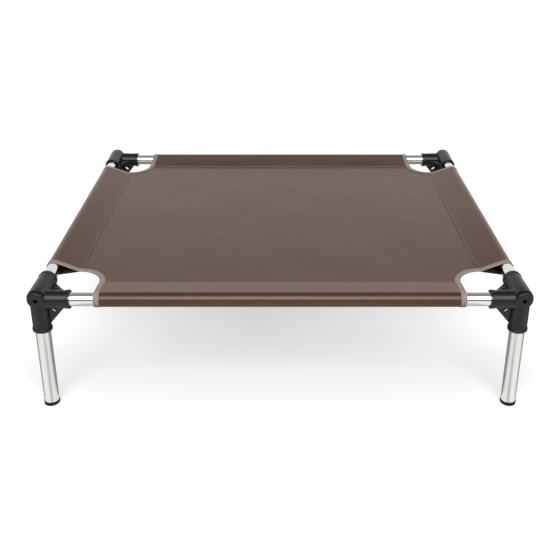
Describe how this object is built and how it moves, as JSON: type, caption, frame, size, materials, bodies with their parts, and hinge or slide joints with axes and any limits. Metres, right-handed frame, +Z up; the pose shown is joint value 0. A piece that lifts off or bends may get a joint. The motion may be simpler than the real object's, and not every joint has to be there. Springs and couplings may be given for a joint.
{
  "type": "raised dog cot",
  "caption": "Raised dog cot: a sewn fabric sling stretched over round tube rails, which meet in braced moulded corner fittings on splayed push-in legs with foot caps.",
  "frame": {"origin": "on the floor, under the middle of the cot", "axes": "+X along the front rail towards the right end, +Y from front to rear, +Z up"},
  "size_m": [0.8458, 0.6958, 0.2326],
  "materials": {
    "fitting_plastic": "black moulded plastic, fine satin grain",
    "tube_aluminium": "drawn tube, clear anodised, satin",
    "plug_plastic": "plain moulded plastic",
    "screw_steel": "blackened steel",
    "foot_plastic": "black moulded plastic, smooth",
    "sling_fabric": "brown coated polyester, low sheen",
    "binding_tape": "taupe woven tape"
  },
  "bodies": {
    "frame": {"corner_fitting_front_left": "fitting_plastic", "corner_fitting_front_right": "fitting_plastic", "corner_fitting_rear_left": "fitting_plastic", "corner_fitting_rear_right": "fitting_plastic", "front_rail": "tube_aluminium", "rear_rail": "tube_aluminium", "left_rail": "tube_aluminium", "right_rail": "tube_aluminium", "front_rail_end_plugs": "plug_plastic", "rear_rail_end_plugs": "plug_plastic", "left_rail_end_plugs": "plug_plastic", "right_rail_end_plugs": "plug_plastic", "long_rail_screws": "screw_steel", "side_rail_screws": "screw_steel", "sling_panel": "sling_fabric", "front_sleeve": "sling_fabric", "rear_sleeve": "sling_fabric", "left_sleeve": "sling_fabric", "right_sleeve": "sling_fabric", "corner_binding_front_left": "binding_tape", "corner_binding_front_right": "binding_tape", "corner_binding_rear_left": "binding_tape", "corner_binding_rear_right": "binding_tape"},
    "leg_front_left": {"leg_front_left": "tube_aluminium", "foot_cap_front_left": "foot_plastic"},
    "leg_front_right": {"leg_front_right": "tube_aluminium", "foot_cap_front_right": "foot_plastic"},
    "leg_rear_left": {"leg_rear_left": "tube_aluminium", "foot_cap_rear_left": "foot_plastic"},
    "leg_rear_right": {"leg_rear_right": "tube_aluminium", "foot_cap_rear_right": "foot_plastic"}
  },
  "joints": [
    {"name": "leg_front_left_pull_out", "type": "slide", "parent": "frame", "child": "leg_front_left", "axis": [-0.0436, -0.0436, -0.9981], "range_m": [0, 0.045]},
    {"name": "leg_front_right_pull_out", "type": "slide", "parent": "frame", "child": "leg_front_right", "axis": [0.0436, -0.0436, -0.9981], "range_m": [0, 0.045]},
    {"name": "leg_rear_left_pull_out", "type": "slide", "parent": "frame", "child": "leg_rear_left", "axis": [-0.0436, 0.0436, -0.9981], "range_m": [0, 0.045]},
    {"name": "leg_rear_right_pull_out", "type": "slide", "parent": "frame", "child": "leg_rear_right", "axis": [0.0436, 0.0436, -0.9981], "range_m": [0, 0.045]}
  ]
}
